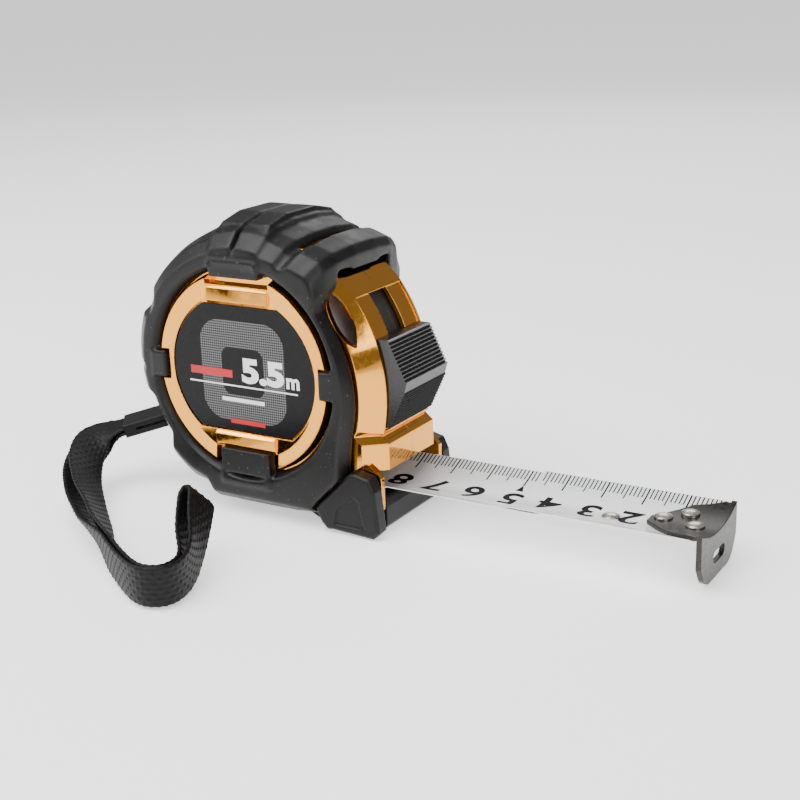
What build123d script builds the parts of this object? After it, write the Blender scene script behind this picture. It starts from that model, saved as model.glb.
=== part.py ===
from build123d import *
import math
import os

# A locking tape measure with a 25 mm blade.  Millimetres.
# +X runs forward along the blade, +Y to the left, +Z up.  The origin is on the
# surface that the case stands on, under the reel's axis, in the parting plane.
# "Right" is the -Y side.  Right-hand pieces are drawn and the left ones mirrored.

# Blade and reel
blade_width = 25.0
blade_thickness = 0.2
blade_edge_height = 12.6
trough_depth = 2.9
reel_height = 37.2
hub_radius = 12.0
coil_radius = 24.3
leaf_gap = 0.3
front_leaf_tail = 66.0
front_leaf_end = 111.2
rear_leaf_tail = 25.2
rear_leaf_end = 74.0
lead_tail = -1.0
lead_end = 33.0

# Case shell
shell_radius = 32.6
shell_half_width = 14.7
shell_wall = 1.6
side_clearance = 0.6
nose_half_width = 10.5
nose_slant = 5.0
track_center = (-2.85, 33.5)
track_radius = 38.8
track_bottom_height = 24.4
track_top_height = 57.3
lip_x = 36.2
lip_height = 15.6
chin_top = (33.9, 24.3)
chin_front_height = 22.1
brow_back = (24.0, 61.0)
shell_floor = 4.2
rail_recess = 0.5
cheek_thickness = 1.4
rail_slot_half_width = 3.9

# Bezel and label
label_radius = 20.9
label_upright_radius = 19.6
label_flat_above = 16.5
label_flat_below = 14.9
label_thickness = 0.5
label_floor = 17.6
bezel_crest = 18.9
bezel_crest_radius = 24.6
label_rim = 18.35
bezel_outer_radius = 25.2
bezel_outer_height = 16.8
boss_radius = 27.2
boss_height = 16.5
bezel_tab_half_width = 9.4
bar_half_width = 8.9
bar_height = 19.2
roof_rib_height = 68.6

# Rubber grip
grip_rim_half_width = 12.0
grip_half_width = 19.6
grip_opening_radius = 25.7
grip_lip_radius = 27.0
tab_half_width = 7.3
tab_top = 74.7
tab_proud = 20.6
seat_gap = 0.1
grip_crown_half_width = 4.5
grip_shoulder_half_width = 16.4
panel_depth = 0.5
pad_length = 25.2
slit_depth = 0.9
brow_gap_back = 14.4
brow_gap_front = 18.2

# Feet, jaw, lock, hook
foot_inner = 14.8
foot_outer = 18.6
foot_gap = 0.3
jaw_front = 36.4
jaw_back = 14.3
jaw_top = blade_edge_height - trough_depth - 1.6
jaw_bottom = 0.6
button_half_width = 9.8
button_top_height = 47.2
button_bottom_height = 25.6
neck_inset = 2.0
rib_depth = 0.45
rib_count = 12
lock_travel_deg = 14.0
band_half_width = 6.0
band_thickness = 1.4
band_clearance = 0.9
band_low_deg = -18.4
band_high_deg = 38.2
band_channel_gap = 0.2
hook_half_width = 11.8
hook_thickness = 1.2
hook_back = 112.4
hook_drop = 0.4
hook_plate_tail = 97.4
hook_plate_thickness = 0.9
plate_gap = 0.05
hook_play = 1.0
rivet_radius = 2.1
rivet_shank_radius = 0.9
rivet_height = 0.62
rivet_tail = 0.05

# Inside
brake_back = 15.4
brake_length = 6.0
brake_half_width = 6.5
brake_top = 16.2
brake_gap = 0.25
guide_bottom = 13.4
screw_head_radius = 2.1
screw_head_seat = 11.5
screw_depth = 8.0
spindle_radius = 3.2
running_gap = 0.06
flange_radius = 24.9
flange_thickness = 0.7
screw_radius = 1.2
boss_post_radius = 2.3

# Wrist strap
strap_width = 9.5
strap_fold_thickness = 4.8
strap_opening_half_width = 6.0
strap_pin_radius = 1.1
link_width = 7.0
link_thickness = 2.0
buckle_width = 10.0
buckle_thickness = 3.6
buckle_length = 15.0
buckle_slot_height = 0.8
strap_route = [
    (-45.1, -12.2, 15.4),
    (-49.2, -15.5, 14.2),
    (-50.2, -21.6, 11.4),
    (-46.0, -29.0, 8.6),
    (-38.2, -37.0, 6.7),
    (-25.8, -47.3, 5.6),
    (-10.5, -59.4, 5.4),
    (2.5, -68.0, 5.4),
    (10.3, -71.8, 5.4),
    (15.2, -69.6, 5.4),
    (15.6, -64.4, 5.4),
    (12.8, -58.4, 5.7),
    (8.8, -52.6, 7.6),
    (5.4, -46.8, 10.8),
    (2.8, -41.8, 14.5),
]

os.makedirs("parts", exist_ok=True)

reel_axis = Axis((0, 0, reel_height), (0, 1, 0))
right_side = Plane.XZ


def polar(angle, radius, center=(0.0, reel_height)):
    """A point of the side view, by angle and radius about a centre."""
    turn = math.radians(angle)
    return (center[0] + radius * math.cos(turn), center[1] + radius * math.sin(turn))


def track_angle(height):
    """The angle about the track's centre of a point at a height."""
    return math.degrees(math.asin((height - track_center[1]) / track_radius))


def track_sector(low, high, inner, outer):
    """A curved bar's side view, between two angles and two radii of the track."""
    middle = (low + high) / 2
    ThreePointArc(*[polar(a, inner, track_center) for a in (low, middle, high)])
    Line(polar(high, inner, track_center), polar(high, outer, track_center))
    ThreePointArc(*[polar(a, outer, track_center) for a in (high, middle, low)])
    Line(polar(low, outer, track_center), polar(low, inner, track_center))


band_outer = track_radius - shell_wall - band_clearance
band_inner = band_outer - band_thickness


def shell_outline(inset, front_inset):
    """The shell's side view: walls move in by inset, the nose by front_inset more."""
    radius = shell_radius - inset
    nose = inset + front_inset
    track_low = polar(track_angle(track_bottom_height), track_radius - nose, track_center)
    track_high = polar(track_angle(track_top_height), track_radius - nose, track_center)
    track_mid = polar(track_angle(40.0), track_radius - nose, track_center)
    brow = (brow_back[0] - nose, brow_back[1] - inset)
    rise = math.degrees(math.atan2(brow[1] - reel_height, brow[0]))
    reach = math.hypot(brow[0], brow[1] - reel_height)
    Line((lip_x - nose, shell_floor + 3.5 + inset), (lip_x - nose, chin_front_height))
    Line((lip_x - nose, chin_front_height), (track_low[0] - 0.9, chin_top[1] - 0.3))
    Line((track_low[0] - 0.9, chin_top[1] - 0.3), track_low)
    ThreePointArc(track_low, track_mid, track_high)
    Line(track_high, brow)
    ThreePointArc(brow, polar((rise + 130) / 2, (reach + radius) / 2), polar(130, radius))
    ThreePointArc(polar(130, radius), polar(178, radius), polar(224, radius))
    Line(polar(224, radius), (-11.0 + inset / 2, shell_floor + inset))
    Line((-11.0 + inset / 2, shell_floor + inset), (30.0 - nose, shell_floor + inset))
    Line((30.0 - nose, shell_floor + inset), (lip_x - nose, shell_floor + 3.5 + inset))


def shell_body(inset, widening, side):
    """A solid of half the shell's envelope, grown or shrunk, up to a side plane."""
    slant = nose_slant * (side - nose_half_width) / (shell_half_width - nose_half_width)
    with BuildPart() as body:
        with BuildSketch(right_side):
            with BuildLine():
                shell_outline(inset, 0.0)
            make_face()
        extrude(amount=nose_half_width + widening)
        with BuildSketch(right_side.offset(nose_half_width + widening)):
            with BuildLine():
                shell_outline(inset, 0.0)
            make_face()
        with BuildSketch(right_side.offset(side)):
            with BuildLine():
                shell_outline(inset, slant)
            make_face()
        loft(ruled=True)
    return body.part


def about_reel(x, z):
    """The angle and radius about the reel of a point in the side view."""
    return (math.degrees(math.atan2(z - reel_height, x)) % 360, math.hypot(x, z - reel_height))


screw_spots = [polar(63, 29.6), polar(140, 29.6), polar(228, 29.6), (32.4, 19.6)]
lug_spot = polar(212, 30.4)

# Case shells: plated plastic halves that meet in the parting plane.  Each has the
# reel's chamber, the nose with half of the track, and the bezel round its label.
cavity_half_width = blade_width / 2 + side_clearance
chamber_half_width = cavity_half_width + flange_thickness + 0.8

with BuildPart() as case_right:
    add(shell_body(0.0, 0.0, shell_half_width))
    with BuildSketch(Plane.XY.offset(reel_height)):
        with BuildLine():
            Polyline(
                (0, -shell_half_width + 1),
                (boss_radius, -shell_half_width + 1),
                (boss_radius, -boss_height),
                (bezel_outer_radius + 0.2, -boss_height),
                (bezel_outer_radius, -bezel_outer_height),
                (bezel_crest_radius, -bezel_crest),
                (label_radius + 0.6, -label_rim),
                (0, -label_rim),
                close=True,
            )
        make_face()
    revolve(axis=reel_axis)
    add(shell_body(shell_wall, -0.9, cavity_half_width), mode=Mode.SUBTRACT)
    with BuildSketch(right_side):
        with Locations((0, reel_height)):
            Circle(flange_radius + 0.6)
    extrude(amount=chamber_half_width, mode=Mode.SUBTRACT)
    # Label recess with the flats above and below
    with BuildSketch(right_side.offset(label_floor)):
        with Locations((0, reel_height)):
            Ellipse(label_radius + 0.3, label_upright_radius + 0.3)
        with Locations((0, reel_height + (label_flat_above - label_flat_below) / 2)):
            Rectangle(60, label_flat_above + label_flat_below + 0.6, mode=Mode.INTERSECT)
    extrude(amount=5, mode=Mode.SUBTRACT)
    # Notches in the bezel for the grip's four tabs
    with BuildSketch(right_side.offset(boss_height)):
        with Locations((0, reel_height + 27.0), (0, reel_height - 25.0)):
            Rectangle(2 * bezel_tab_half_width, 11.0)
        with Locations((-25.0, reel_height), (25.0, reel_height)):
            Rectangle(5.4, 7.6)
    extrude(amount=5, mode=Mode.SUBTRACT)
    # Raised bars between the label's flats and the tabs
    bar_ends = (
        (reel_height + label_flat_above + 0.4, reel_height + 21.5),
        (reel_height - label_flat_below - 0.4, reel_height - 19.5),
    )
    for near, far in bar_ends:
        away = math.copysign(1.0, far - near)
        with BuildSketch(Plane.YZ):
            with BuildLine():
                Polyline(
                    (-boss_height + 1, near),
                    (-bar_height + 0.6, near),
                    (-bar_height, near + 0.8 * away),
                    (-bar_height + 0.3, far - 0.9 * away),
                    (-bar_height + 1.0, far),
                    (-boss_height + 1, far),
                    close=True,
                )
            make_face()
        extrude(amount=bar_half_width, both=True)
    # Raised rib that shows in the gap behind the brow bar
    with BuildSketch(Plane.YZ.offset(brow_gap_back + seat_gap)):
        with BuildLine():
            Polyline(
                (0, reel_height + 20),
                (0, roof_rib_height),
                (-grip_crown_half_width, roof_rib_height),
                (-grip_rim_half_width, roof_rib_height - 1.0),
                (-grip_rim_half_width, reel_height + 20),
                close=True,
            )
        make_face()
    extrude(amount=brow_gap_front - brow_gap_back - 2 * seat_gap)
    add(shell_body(shell_wall, -0.9, cavity_half_width), mode=Mode.SUBTRACT)
    # Mouth, and the floor that the lower jaw takes up
    with BuildSketch(right_side):
        with Locations(((lip_x + jaw_back) / 2 + 2, lip_height / 2 - 1)):
            Rectangle(lip_x - jaw_back + 4, lip_height + 2)
    extrude(amount=cavity_half_width, mode=Mode.SUBTRACT)
    # Cheek beside the mouth, between the blade and the foot
    with BuildSketch(right_side.offset(cavity_half_width)):
        with BuildLine():
            Polyline(
                (lip_x - 5.2, shell_floor + 0.4),
                (lip_x - 1.6, shell_floor + 0.4),
                (lip_x, shell_floor + 2.4),
                (lip_x, lip_height - 1.0),
                (lip_x - 3.2, lip_height + 2.0),
                (lip_x - 5.2, lip_height + 2.0),
                close=True,
            )
        make_face()
    extrude(amount=cheek_thickness)
    # Rails: a recessed track with the button's slot down its middle
    with BuildSketch(right_side):
        with BuildLine():
            low, high = track_angle(track_bottom_height + 0.6), track_angle(track_top_height - 0.6)
            ThreePointArc(*[polar(a, track_radius - rail_recess, track_center) for a in (low, 10, high)])
            Line(
                polar(high, track_radius - rail_recess, track_center),
                polar(high, track_radius + 6, track_center),
            )
            Line(polar(high, track_radius + 6, track_center), polar(low, track_radius + 6, track_center))
            Line(
                polar(low, track_radius + 6, track_center),
                polar(low, track_radius - rail_recess, track_center),
            )
        make_face()
    extrude(amount=nose_half_width - 0.5, mode=Mode.SUBTRACT)
    with BuildSketch(right_side):
        with BuildLine():
            slot_low = track_angle(button_bottom_height + neck_inset) - 0.7
            track_sector(slot_low, high, track_radius - 4, track_radius + 6)
        make_face()
    extrude(amount=rail_slot_half_width, mode=Mode.SUBTRACT)
    # Leaf-shaped window in the slanted cheek
    with BuildSketch(right_side.offset(nose_half_width + 0.9)):
        with BuildLine():
            Spline((22.6, 58.6), (28.4, 52.4), (30.0, 45.6))
            Spline((30.0, 45.6), (25.4, 49.6), (22.6, 58.6))
        make_face()
    extrude(amount=8, mode=Mode.SUBTRACT)
    # Channel in the roof for the top of the lock's band
    channel = (band_inner - band_channel_gap, band_outer + band_channel_gap)
    channel_start = band_high_deg + 1.0
    with BuildSketch(right_side):
        with BuildLine():
            track_sector(channel_start, channel_start + lock_travel_deg, *channel)
        make_face()
    extrude(amount=band_half_width + band_channel_gap, mode=Mode.SUBTRACT)
    # Screw posts
    for spots, post_end in (
        (screw_spots[:3], cavity_half_width + 0.4),
        (screw_spots[3:], nose_half_width - 0.6),
    ):
        with BuildSketch(right_side):
            with Locations(*spots):
                Circle(boss_post_radius)
        extrude(amount=post_end)
    with BuildSketch(right_side):
        with Locations(*screw_spots):
            Circle(screw_radius + 0.05)
    extrude(amount=screw_depth + 0.6, mode=Mode.SUBTRACT)
    # Guide for the brake pad
    with BuildSketch(right_side.offset(brake_half_width + 0.3)):
        with BuildLine():
            low = guide_bottom
            Polyline(
                (brake_back, low),
                (brake_back + brake_length, low),
                (brake_back + brake_length, brake_top),
                (brake_back, brake_top),
                close=True,
            )
        make_face()
    extrude(amount=cavity_half_width - brake_half_width)
    # Opening for the wrist strap, with an ear on each side for its pin
    with BuildSketch(right_side):
        with Locations(lug_spot):
            Circle(2.2)
    extrude(amount=strap_opening_half_width + 2.5)
    with BuildSketch(right_side):
        with Locations(lug_spot):
            Circle(strap_pin_radius + 0.05)
    extrude(amount=strap_opening_half_width + 2.0, mode=Mode.SUBTRACT)
    with BuildSketch(right_side):
        with Locations(polar(212, 32.0)):
            Rectangle(11.0, 8.0)
    extrude(amount=strap_opening_half_width, mode=Mode.SUBTRACT)
case_right.part.label = "case_right"
export_step(case_right.part, "parts/case_right.step")

with BuildPart() as case_left:
    mirror(case_right.part, about=Plane.XZ)
    # The screws go in from this side: clearance holes and sunk seats for their heads
    with BuildSketch(Plane.XZ):
        with Locations(*screw_spots):
            Circle(screw_radius + 0.2)
    extrude(amount=-20, mode=Mode.SUBTRACT)
    with BuildSketch(Plane.XZ.offset(-screw_head_seat)):
        with Locations(*screw_spots):
            Circle(screw_head_radius + 0.1)
    extrude(amount=-20, mode=Mode.SUBTRACT)
case_left.part.label = "case_left"
export_step(case_left.part, "parts/case_left.step")

# Rubber grips: thick moulded covers over the shells, crowned towards the parting
# plane, with scalloped steps, four tabs that hook over the bezel, and a brow bar.
# The rim's corners: angle and radius about the reel, how far the corner moves in
# at the rim's edge and at the face, and whether an arc leads to the next corner.
rim = [
    (-49.5, 42.4, 0.3, 2.5, False),
    (-33.7, 34.8, 0.0, 2.5, False),
    (-22.4, 32.2, 0.0, 2.2, True),
    (14.7, 29.2, 0.0, 0.9, False),
    (28.5, 28.8, 0.0, 0.7, False),
    (37.1, 29.0, 0.0, 0.7, False),
    (42.0, 33.0, 0.3, 2.5, False),
    (48.4, 38.1, 0.8, 6.0, False),
    (51.8, 39.1, 1.0, 6.6, False),
    (60.4, 37.7, 1.0, 6.2, False),
    (63.2, 35.2, 1.0, 5.6, False),
    (65.8, 35.2, 1.0, 5.6, False),
    (67.4, 36.0, 1.0, 5.6, False),
    (75.2, 36.0, 1.0, 6.0, False),
    (77.0, 37.0, 1.0, 6.2, True),
    (103.0, 37.0, 1.0, 6.2, False),
    (104.5, 35.8, 1.1, 6.0, True),
    (146.0, 35.9, 1.1, 6.0, False),
    (150.0, 34.4, 1.1, 5.2, False),
    (155.0, 34.4, 1.1, 5.2, False),
    (159.0, 36.3, 1.1, 6.2, True),
    (180.5, 36.2, 1.1, 6.2, False),
    (182.5, 35.3, 1.1, 6.0, False),
    (185.0, 36.1, 1.1, 6.2, True),
    (194.0, 36.0, 1.1, 6.2, False),
    (198.0, 34.4, 1.1, 6.0, True),
    (218.0, 34.4, 1.1, 6.0, False),
    (223.5, 37.8, 1.2, 6.4, True),
    (238.0, 37.9, 1.3, 6.4, False),
    (246.0, 36.4, 1.6, 5.4, False),
    (*about_reel(-pad_length / 2, 0.0), 2.2, 6.0, False),
    (*about_reel(pad_length / 2 + 1.2, 0.0), 2.2, 6.0, False),
    (300.5, 40.4, 0.8, 3.5, False),
]


def grip_outline(move):
    """The grip's rim, each corner moved in by the amount that move gives."""
    corners = [(angle, radius - move(mid, face), curved) for angle, radius, mid, face, curved in rim]
    for (a0, r0, curved), (a1, r1, _) in zip(corners, corners[1:] + corners[:1]):
        a1 = a1 if a1 > a0 else a1 + 360
        if curved:
            ThreePointArc(polar(a0, r0), polar((a0 + a1) / 2, (r0 + r1) / 2), polar(a1, r1))
        else:
            Line(polar(a0, r0), polar(a1, r1))


foot_corners = [
    (19.3, 6.1),
    (29.3, 15.9),
    (31.0, 16.3),
    (35.0, 15.3),
    (36.4, 12.3),
    (37.4, 2.2),
    (35.6, 0.3),
    (24.2, 0.9),
    (22.6, 0.7),
    (20.8, 2.6),
]

with BuildPart() as grip_right:
    with BuildSketch(right_side):
        with BuildLine():
            grip_outline(lambda mid, face: 0.0)
        make_face()
    extrude(amount=grip_crown_half_width)
    with BuildSketch(right_side.offset(grip_crown_half_width)):
        with BuildLine():
            grip_outline(lambda mid, face: 0.0)
        make_face()
    with BuildSketch(right_side.offset(grip_rim_half_width)):
        with BuildLine():
            grip_outline(lambda mid, face: mid)
        make_face()
    loft(ruled=True)
    with BuildSketch(right_side.offset(grip_rim_half_width)):
        with BuildLine():
            grip_outline(lambda mid, face: mid)
        make_face()
    with BuildSketch(right_side.offset(grip_shoulder_half_width)):
        with BuildLine():
            grip_outline(lambda mid, face: mid + 0.32 * (face - mid))
        make_face()
    loft(ruled=True)
    with BuildSketch(right_side.offset(grip_shoulder_half_width)):
        with BuildLine():
            grip_outline(lambda mid, face: mid + 0.32 * (face - mid))
        make_face()
    with BuildSketch(right_side.offset(grip_half_width)):
        with BuildLine():
            grip_outline(lambda mid, face: face)
        make_face()
    loft(ruled=True)
    # Hook-over tabs above and below, run out over the rim
    with BuildSketch(Plane.YZ):
        with BuildLine():
            Polyline(
                (0, reel_height + 30),
                (0, tab_top),
                (-6.0, tab_top),
                (-13.0, tab_top - 1.6),
                (-17.6, tab_top - 5.2),
                (-tab_proud, tab_top - 10.4),
                (-tab_proud, reel_height + 23.6),
                (-bezel_outer_height, reel_height + 23.0),
                close=True,
            )
        make_face()
    extrude(amount=tab_half_width, both=True)
    with BuildSketch(Plane.YZ):
        with BuildLine():
            Polyline(
                (0, reel_height - 30),
                (0, 0.0),
                (-grip_crown_half_width, 0.0),
                (-13.0, 1.5),
                (-17.6, 4.4),
                (-tab_proud + 0.6, 9.0),
                (-tab_proud + 0.6, reel_height - 19.6),
                (-bezel_outer_height, reel_height - 19.2),
                close=True,
            )
        make_face()
    extrude(amount=tab_half_width, both=True)
    # The shell's envelope and the bezel's boss
    add(shell_body(-seat_gap, 0.0, shell_half_width + seat_gap), mode=Mode.SUBTRACT)
    with BuildSketch(right_side):
        with Locations((0, reel_height)):
            Circle(boss_radius + seat_gap)
    extrude(amount=bezel_outer_height - 0.1, mode=Mode.SUBTRACT)
    # Round opening for the bezel, its edge flared outwards
    with BuildSketch(Plane.XY.offset(reel_height)):
        with BuildLine():
            Polyline(
                (0, -shell_half_width),
                (grip_opening_radius, -shell_half_width),
                (grip_opening_radius, -bezel_outer_height - 0.6),
                (grip_lip_radius, -grip_half_width),
                (grip_lip_radius, -grip_half_width - 6),
                (0, -grip_half_width - 6),
                close=True,
            )
        make_face()
    revolve(axis=reel_axis, mode=Mode.SUBTRACT)
    for x, z, wide, tall in (
        (0, tab_top - 12.0, 2 * tab_half_width, 3.8),
        (0, reel_height - 22.6, 2 * tab_half_width, 6.2),
        (25.0, reel_height, 4.4, 6.8),
        (-25.0, reel_height, 4.4, 6.8),
    ):
        with BuildSketch(right_side.offset(bezel_outer_height - 0.1)):
            with Locations((x, z)):
                Rectangle(wide, tall)
        extrude(amount=grip_half_width + 0.3 - bezel_outer_height)
    # Brow bar: its gap behind and the hollow under it
    with BuildSketch(right_side):
        with Locations(((brow_gap_back + brow_gap_front) / 2, 68)):
            Rectangle(brow_gap_front - brow_gap_back, 12)
    extrude(amount=12.4, mode=Mode.SUBTRACT)
    with BuildSketch(right_side):
        with BuildLine():
            Polyline((17.4, 60), (17.4, 66.2), (21.5, 65.9), (24.2, 63.2), (26.4, 60.0), close=True)
        make_face()
    extrude(amount=11.4, mode=Mode.SUBTRACT)
    # Room for the lower jaw, the foot and the wrist strap
    with BuildSketch(right_side):
        with Locations((jaw_back + 10 - 0.2, 0)):
            Rectangle(20, 2 * shell_floor)
    extrude(amount=foot_inner, mode=Mode.SUBTRACT)
    with BuildSketch(right_side.offset(shell_half_width)):
        Polygon(*foot_corners, align=None)
        offset(amount=foot_gap, kind=Kind.INTERSECTION)
    extrude(amount=10, mode=Mode.SUBTRACT)
    with BuildSketch(right_side):
        with Locations(polar(212, 36.0)):
            Rectangle(12.0, 8.0)
    extrude(amount=strap_opening_half_width, mode=Mode.SUBTRACT)
    # Slit and nameplate panel in the upper tab, and grooves across brow bar and tabs
    with BuildSketch(right_side.offset(tab_proud - panel_depth)):
        with Locations((0, tab_top - 11.7)):
            Rectangle(2 * tab_half_width - 1.8, 3.0)
    extrude(amount=3, mode=Mode.SUBTRACT)
    with BuildSketch(Plane.YZ):
        with BuildLine():
            Polyline(
                (0, tab_top + 2),
                (0, tab_top - slit_depth),
                (-6.0, tab_top - slit_depth),
                (-12.6, tab_top - 1.6 - slit_depth),
                (-17.0, tab_top - 5.2 - slit_depth),
                (-tab_proud + slit_depth, tab_top - 8.6),
                (-tab_proud - 2, tab_top - 8.6),
                (-tab_proud - 2, tab_top + 2),
                close=True,
            )
        make_face()
    extrude(amount=0.45, both=True, mode=Mode.SUBTRACT)
grip_right.part.label = "grip_right"
export_step(grip_right.part, "parts/grip_right.step")

with BuildPart() as grip_left:
    mirror(grip_right.part, about=Plane.XZ)
grip_left.part.label = "grip_left"
export_step(grip_left.part, "parts/grip_left.step")

# Feet: hard rubber skids screwed to the front corners, each with a sunk triangle.
with BuildPart() as foot_right:
    with BuildSketch(right_side.offset(foot_inner)):
        Polygon(*foot_corners, align=None)
    extrude(amount=foot_outer - foot_inner)
    chamfer(foot_right.faces().sort_by(Axis.Y)[0].edges(), length=0.6)
    with BuildSketch(right_side.offset(foot_outer - panel_depth)):
        with BuildLine():
            Polyline((30.3, 10.4), (25.6, 6.2), (24.8, 2.4), (33.4, 2.2), (32.0, 9.4), close=True)
        make_face()
    extrude(amount=3, mode=Mode.SUBTRACT)
foot_right.part.label = "foot_right"
export_step(foot_right.part, "parts/foot_right.step")

with BuildPart() as foot_left:
    mirror(foot_right.part, about=Plane.XZ)
foot_left.part.label = "foot_left"
export_step(foot_left.part, "parts/foot_left.step")

# Lower jaw: the black tongue under the blade, between the feet.
with BuildPart() as lower_jaw:
    with BuildSketch(right_side):
        with BuildLine():
            Polyline(
                (jaw_back, jaw_bottom + 1.4),
                (jaw_back + 3.0, jaw_bottom),
                (jaw_front - 1.6, jaw_bottom),
                (jaw_front, jaw_bottom + 1.6),
                (jaw_front, jaw_top - 1.2),
                (jaw_front - 1.0, jaw_top),
                (jaw_back, jaw_top),
                close=True,
            )
        make_face()
    extrude(amount=cavity_half_width - 0.2, both=True)
lower_jaw.part.label = "lower_jaw"
export_step(lower_jaw.part, "parts/lower_jaw.step")

# Labels: printed discs with a flat above and below, stuck in the bezels.
with BuildPart() as label_right:
    with BuildSketch(right_side.offset(label_floor)):
        with Locations((0, reel_height)):
            Ellipse(label_radius, label_upright_radius)
        with Locations((0, reel_height + (label_flat_above - label_flat_below) / 2)):
            Rectangle(60, label_flat_above + label_flat_below, mode=Mode.INTERSECT)
    extrude(amount=label_thickness)
label_right.part.label = "label_right"
export_step(label_right.part, "parts/label_right.step")

with BuildPart() as label_left:
    mirror(label_right.part, about=Plane.XZ)
label_left.part.label = "label_left"
export_step(label_left.part, "parts/label_left.step")

# Lock: a ribbed thumb button on a curved band that slides behind the rails.
button_base = track_radius - rail_recess + running_gap + 0.2


def ribbed_slope(start, end):
    """The corners of a slope with saw-toothed ribs, from start towards end."""
    run = (end[0] - start[0], end[1] - start[1])
    length = math.hypot(*run)
    normal = (run[1] / length, -run[0] / length)
    corners = []
    for step in range(rib_count):
        for share, depth in ((step / rib_count, 0.0), ((step + 0.5) / rib_count, rib_depth)):
            x = start[0] + run[0] * share - normal[0] * depth
            corners.append((x, start[1] + run[1] * share - normal[1] * depth))
    return corners


button_low = polar(track_angle(button_bottom_height), button_base, track_center)
button_high = polar(track_angle(button_top_height), button_base, track_center)

with BuildPart() as lock_button:
    with BuildSketch(right_side):
        with BuildLine():
            ThreePointArc(button_low, polar(4, button_base, track_center), button_high)
            slopes = ribbed_slope((36.2, 47.2), (41.0, 37.0)) + ribbed_slope((40.4, 35.0), (36.0, 25.9))
            Polyline(button_high, *slopes, button_low)
        make_face()
    extrude(amount=button_half_width, both=True)
    with BuildSketch(right_side):
        with BuildLine():
            neck_low = track_angle(button_bottom_height + neck_inset)
            neck_high = track_angle(button_top_height - neck_inset)
            track_sector(neck_low, neck_high, band_outer, button_base + 0.3)
        make_face()
    extrude(amount=rail_slot_half_width - 0.4, both=True)
lock_button.part.label = "lock_button"
export_step(lock_button.part, "parts/lock_button.step")

with BuildPart() as lock_band:
    with BuildSketch(right_side):
        with BuildLine():
            track_sector(band_low_deg, band_high_deg, band_inner, band_outer)
        make_face()
    extrude(amount=band_half_width, both=True)
lock_band.part.label = "lock_band"
export_step(lock_band.part, "parts/lock_band.step")


def trough(drop, thickness):
    """The blade's cross-section, sagging between its edges, lowered by drop."""
    top = blade_edge_height - drop
    half = blade_width / 2
    ThreePointArc((-half, top), (0, top - trough_depth), (half, top))
    Line((half, top), (half, top - thickness))
    ThreePointArc((half, top - thickness), (0, top - trough_depth - thickness), (-half, top - thickness))
    Line((-half, top - thickness), (-half, top))


# Blade: the stretch outside and just inside the mouth, in three nested leaves.
leaf_pitch = blade_thickness + leaf_gap
leaves = {"blade_front": (front_leaf_tail, front_leaf_end, 0)}
leaves |= {"blade_rear": (rear_leaf_tail, rear_leaf_end, 1), "blade_lead": (lead_tail, lead_end, 2)}
rivet_spots = [(100.2, 1.4), (105.2, 5.0), (108.2, -0.4)]
marker_spot = (88.8, -1.4)

with BuildPart() as blade_front:
    with BuildSketch(Plane.YZ.offset(front_leaf_tail)):
        with BuildLine():
            trough(0, blade_thickness)
        make_face()
    extrude(amount=front_leaf_end - front_leaf_tail)
    with BuildSketch(Plane.XY):
        with Locations(*rivet_spots, marker_spot):
            Circle(rivet_shank_radius + 0.05)
    extrude(amount=20, mode=Mode.SUBTRACT)
blade_front.part.label = "blade_front"
export_step(blade_front.part, "parts/blade_front.step")

with BuildPart() as blade_rear:
    with BuildSketch(Plane.YZ.offset(rear_leaf_tail)):
        with BuildLine():
            trough(leaf_pitch, blade_thickness)
        make_face()
    extrude(amount=rear_leaf_end - rear_leaf_tail)
blade_rear.part.label = "blade_rear"
export_step(blade_rear.part, "parts/blade_rear.step")

with BuildPart() as blade_lead:
    with BuildSketch(Plane.YZ.offset(lead_tail)):
        with BuildLine():
            trough(2 * leaf_pitch, blade_thickness)
        make_face()
    extrude(amount=lead_end - lead_tail)
blade_lead.part.label = "blade_lead"
export_step(blade_lead.part, "parts/blade_lead.step")

# Brake pad: a rubber block over the blade between its guides, with a groove that
# lets the blade's rivet pass.
with BuildPart() as brake_pad:
    with BuildSketch(Plane.YZ.offset(brake_back)):
        with BuildLine():
            trough(-brake_gap - 9.0, 9.0)
        make_face()
        with Locations((0, brake_top - 5)):
            Rectangle(2 * brake_half_width, 10.0, mode=Mode.INTERSECT)
        with Locations((marker_spot[1], blade_edge_height - trough_depth)):
            Rectangle(2 * rivet_radius + 1.0, 3.0, mode=Mode.SUBTRACT)
    extrude(amount=brake_length)
brake_pad.part.label = "brake_pad"
export_step(brake_pad.part, "parts/brake_pad.step")

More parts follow.
